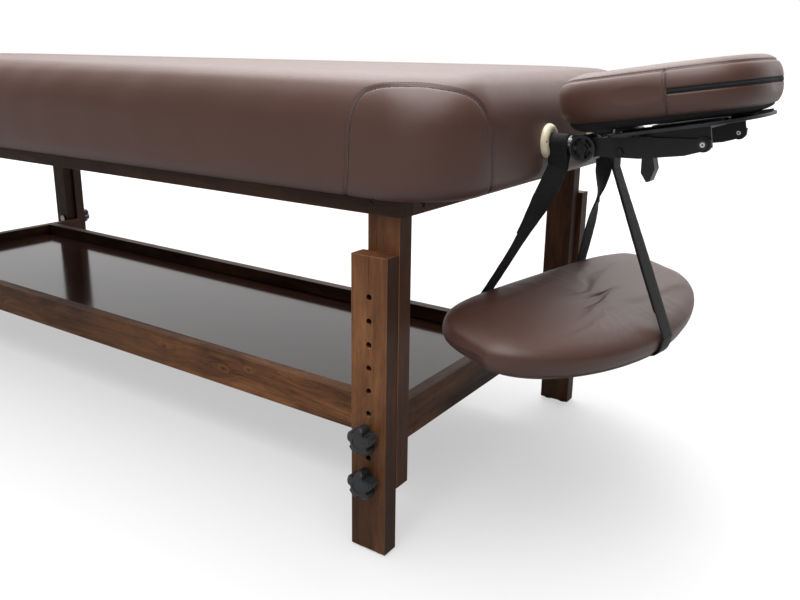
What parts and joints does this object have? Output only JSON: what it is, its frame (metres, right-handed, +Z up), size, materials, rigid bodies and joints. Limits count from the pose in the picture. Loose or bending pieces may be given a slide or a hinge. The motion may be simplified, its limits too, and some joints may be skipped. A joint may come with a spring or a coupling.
{
  "type": "massage table",
  "caption": "Stationary wooden massage table with a padded brown leather-look top, height-adjustable legs, a lower tray, a tilting face cradle and a hanging armrest",
  "frame": {"origin": "on the floor, under the middle of the whole outline along the table and across it", "axes": "+X runs along the table toward the head end with the face cradle, +Y across it toward the far side, +Z up"},
  "size_m": [2.0857, 0.6834, 0.6705],
  "materials": {
    "stained_wood": "dark walnut stain under a thin satin lacquer, straight grain with a few knots",
    "frame_wood": "plain boards hidden under the padding",
    "brown_leather": "brown leather-look upholstery, a coated fabric over foam, smooth with a soft sheen and stitched seams",
    "black_metal": "black powder coat",
    "black_plastic": "moulded black plastic with a faint sheen",
    "glide_plastic": "hard plastic glides",
    "cream_plastic": "smooth cream plastic",
    "bare_steel": "zinc plated steel",
    "rod_metal": "drawn aluminium rod",
    "webbing": "ribbed black polypropylene webbing and grip tape"
  },
  "bodies": {
    "table": {"pad": "brown_leather", "deck_board": "frame_wood", "skirt_boards": "frame_wood", "end_board_head": "frame_wood", "end_board_foot": "frame_wood", "rail_near": "stained_wood", "rail_far": "stained_wood", "rail_head": "stained_wood", "rail_foot": "stained_wood", "cross_slats": "stained_wood", "corner_blocks": "stained_wood", "post_head_near": "stained_wood", "post_head_far": "stained_wood", "post_foot_near": "stained_wood", "post_foot_far": "stained_wood", "tray_rail_near": "stained_wood", "tray_rail_far": "stained_wood", "tray_rail_head": "stained_wood", "tray_rail_foot": "stained_wood", "tray_panel": "stained_wood", "frame_bolts": "bare_steel", "clamp_bolts": "bare_steel", "rod_sockets": "bare_steel", "grommets": "cream_plastic", "grommet_screws": "bare_steel"},
    "leg_head_near": {"leg_head_near": "stained_wood", "glides_head_near": "glide_plastic"},
    "knob_head_near_upper": {"knob_head_near_upper": "black_plastic"},
    "knob_head_near_lower": {"knob_head_near_lower": "black_plastic"},
    "leg_head_far": {"leg_head_far": "stained_wood", "glides_head_far": "glide_plastic"},
    "knob_head_far_upper": {"knob_head_far_upper": "black_plastic"},
    "knob_head_far_lower": {"knob_head_far_lower": "black_plastic"},
    "leg_foot_near": {"leg_foot_near": "stained_wood", "glides_foot_near": "glide_plastic"},
    "knob_foot_near_upper": {"knob_foot_near_upper": "black_plastic"},
    "knob_foot_near_lower": {"knob_foot_near_lower": "black_plastic"},
    "leg_foot_far": {"leg_foot_far": "stained_wood", "glides_foot_far": "glide_plastic"},
    "knob_foot_far_upper": {"knob_foot_far_upper": "black_plastic"},
    "knob_foot_far_lower": {"knob_foot_far_lower": "black_plastic"},
    "cradle_base": {"rods": "rod_metal", "cross_tube": "black_metal", "hub_brackets": "black_plastic", "hub_wheels": "black_plastic", "hub_bolts": "bare_steel"},
    "cradle_arms": {"arm_near": "black_metal", "arm_far": "black_metal", "arm_pins": "bare_steel", "tie_rod": "bare_steel"},
    "platform": {"platform_plate": "black_plastic", "platform_bracket": "black_metal", "grip_strips": "webbing", "face_cushion": "brown_leather"},
    "lever": {"cam_lever": "black_plastic"},
    "armrest": {"armrest_pad": "brown_leather", "strap_near": "webbing", "strap_far": "webbing", "strap_front": "webbing"}
  },
  "joints": [
    {"name": "slide_leg_head_near", "type": "slide", "parent": "table", "child": "leg_head_near", "axis": [0, 0, -1], "range_m": [0, 0.192]},
    {"name": "turn_knob_head_near_upper", "type": "hinge", "parent": "table", "child": "knob_head_near_upper", "pos_m": [0.63254, -0.3179, 0.174], "axis": [0, -1, 0], "continuous": true},
    {"name": "turn_knob_head_near_lower", "type": "hinge", "parent": "table", "child": "knob_head_near_lower", "pos_m": [0.63254, -0.3179, 0.11], "axis": [0, -1, 0], "continuous": true},
    {"name": "slide_leg_head_far", "type": "slide", "parent": "table", "child": "leg_head_far", "axis": [0, 0, -1], "range_m": [0, 0.192]},
    {"name": "turn_knob_head_far_upper", "type": "hinge", "parent": "table", "child": "knob_head_far_upper", "pos_m": [0.64154, 0.3179, 0.174], "axis": [0, 1, 0], "continuous": true},
    {"name": "turn_knob_head_far_lower", "type": "hinge", "parent": "table", "child": "knob_head_far_lower", "pos_m": [0.64154, 0.3179, 0.11], "axis": [0, 1, 0], "continuous": true},
    {"name": "slide_leg_foot_near", "type": "slide", "parent": "table", "child": "leg_foot_near", "axis": [0, 0, -1], "range_m": [0, 0.192]},
    {"name": "turn_knob_foot_near_upper", "type": "hinge", "parent": "table", "child": "knob_foot_near_upper", "pos_m": [-0.92646, -0.3179, 0.174], "axis": [0, -1, 0], "continuous": true},
    {"name": "turn_knob_foot_near_lower", "type": "hinge", "parent": "table", "child": "knob_foot_near_lower", "pos_m": [-0.92646, -0.3179, 0.11], "axis": [0, -1, 0], "continuous": true},
    {"name": "slide_leg_foot_far", "type": "slide", "parent": "table", "child": "leg_foot_far", "axis": [0, 0, -1], "range_m": [0, 0.192]},
    {"name": "turn_knob_foot_far_upper", "type": "hinge", "parent": "table", "child": "knob_foot_far_upper", "pos_m": [-0.91746, 0.3179, 0.174], "axis": [0, 1, 0], "continuous": true},
    {"name": "turn_knob_foot_far_lower", "type": "hinge", "parent": "table", "child": "knob_foot_far_lower", "pos_m": [-0.91746, 0.3179, 0.11], "axis": [0, 1, 0], "continuous": true},
    {"name": "slide_cradle", "type": "slide", "parent": "table", "child": "cradle_base", "axis": [1, 0, 0], "range_m": [0, 0.1]},
    {"name": "tilt_arms", "type": "hinge", "parent": "cradle_base", "child": "cradle_arms", "pos_m": [0.81754, 0, 0.548], "axis": [0, 1, 0], "range_deg": [0, 35]},
    {"name": "tilt_platform", "type": "hinge", "parent": "cradle_arms", "child": "platform", "pos_m": [0.96414, 0, 0.5635], "axis": [0, 1, 0], "range_deg": [0, 35]},
    {"name": "turn_lever", "type": "hinge", "parent": "cradle_arms", "child": "lever", "pos_m": [0.86357, 0, 0.546], "axis": [0, -1, 0], "range_deg": [0, 85]},
    {"name": "swing_armrest", "type": "hinge", "parent": "cradle_base", "child": "armrest", "pos_m": [0.80498, -0.0065, 0.55], "axis": [0, 1, 0], "range_deg": [-20, 2], "deforming": ["strap_near", "strap_far", "strap_front"]}
  ]
}
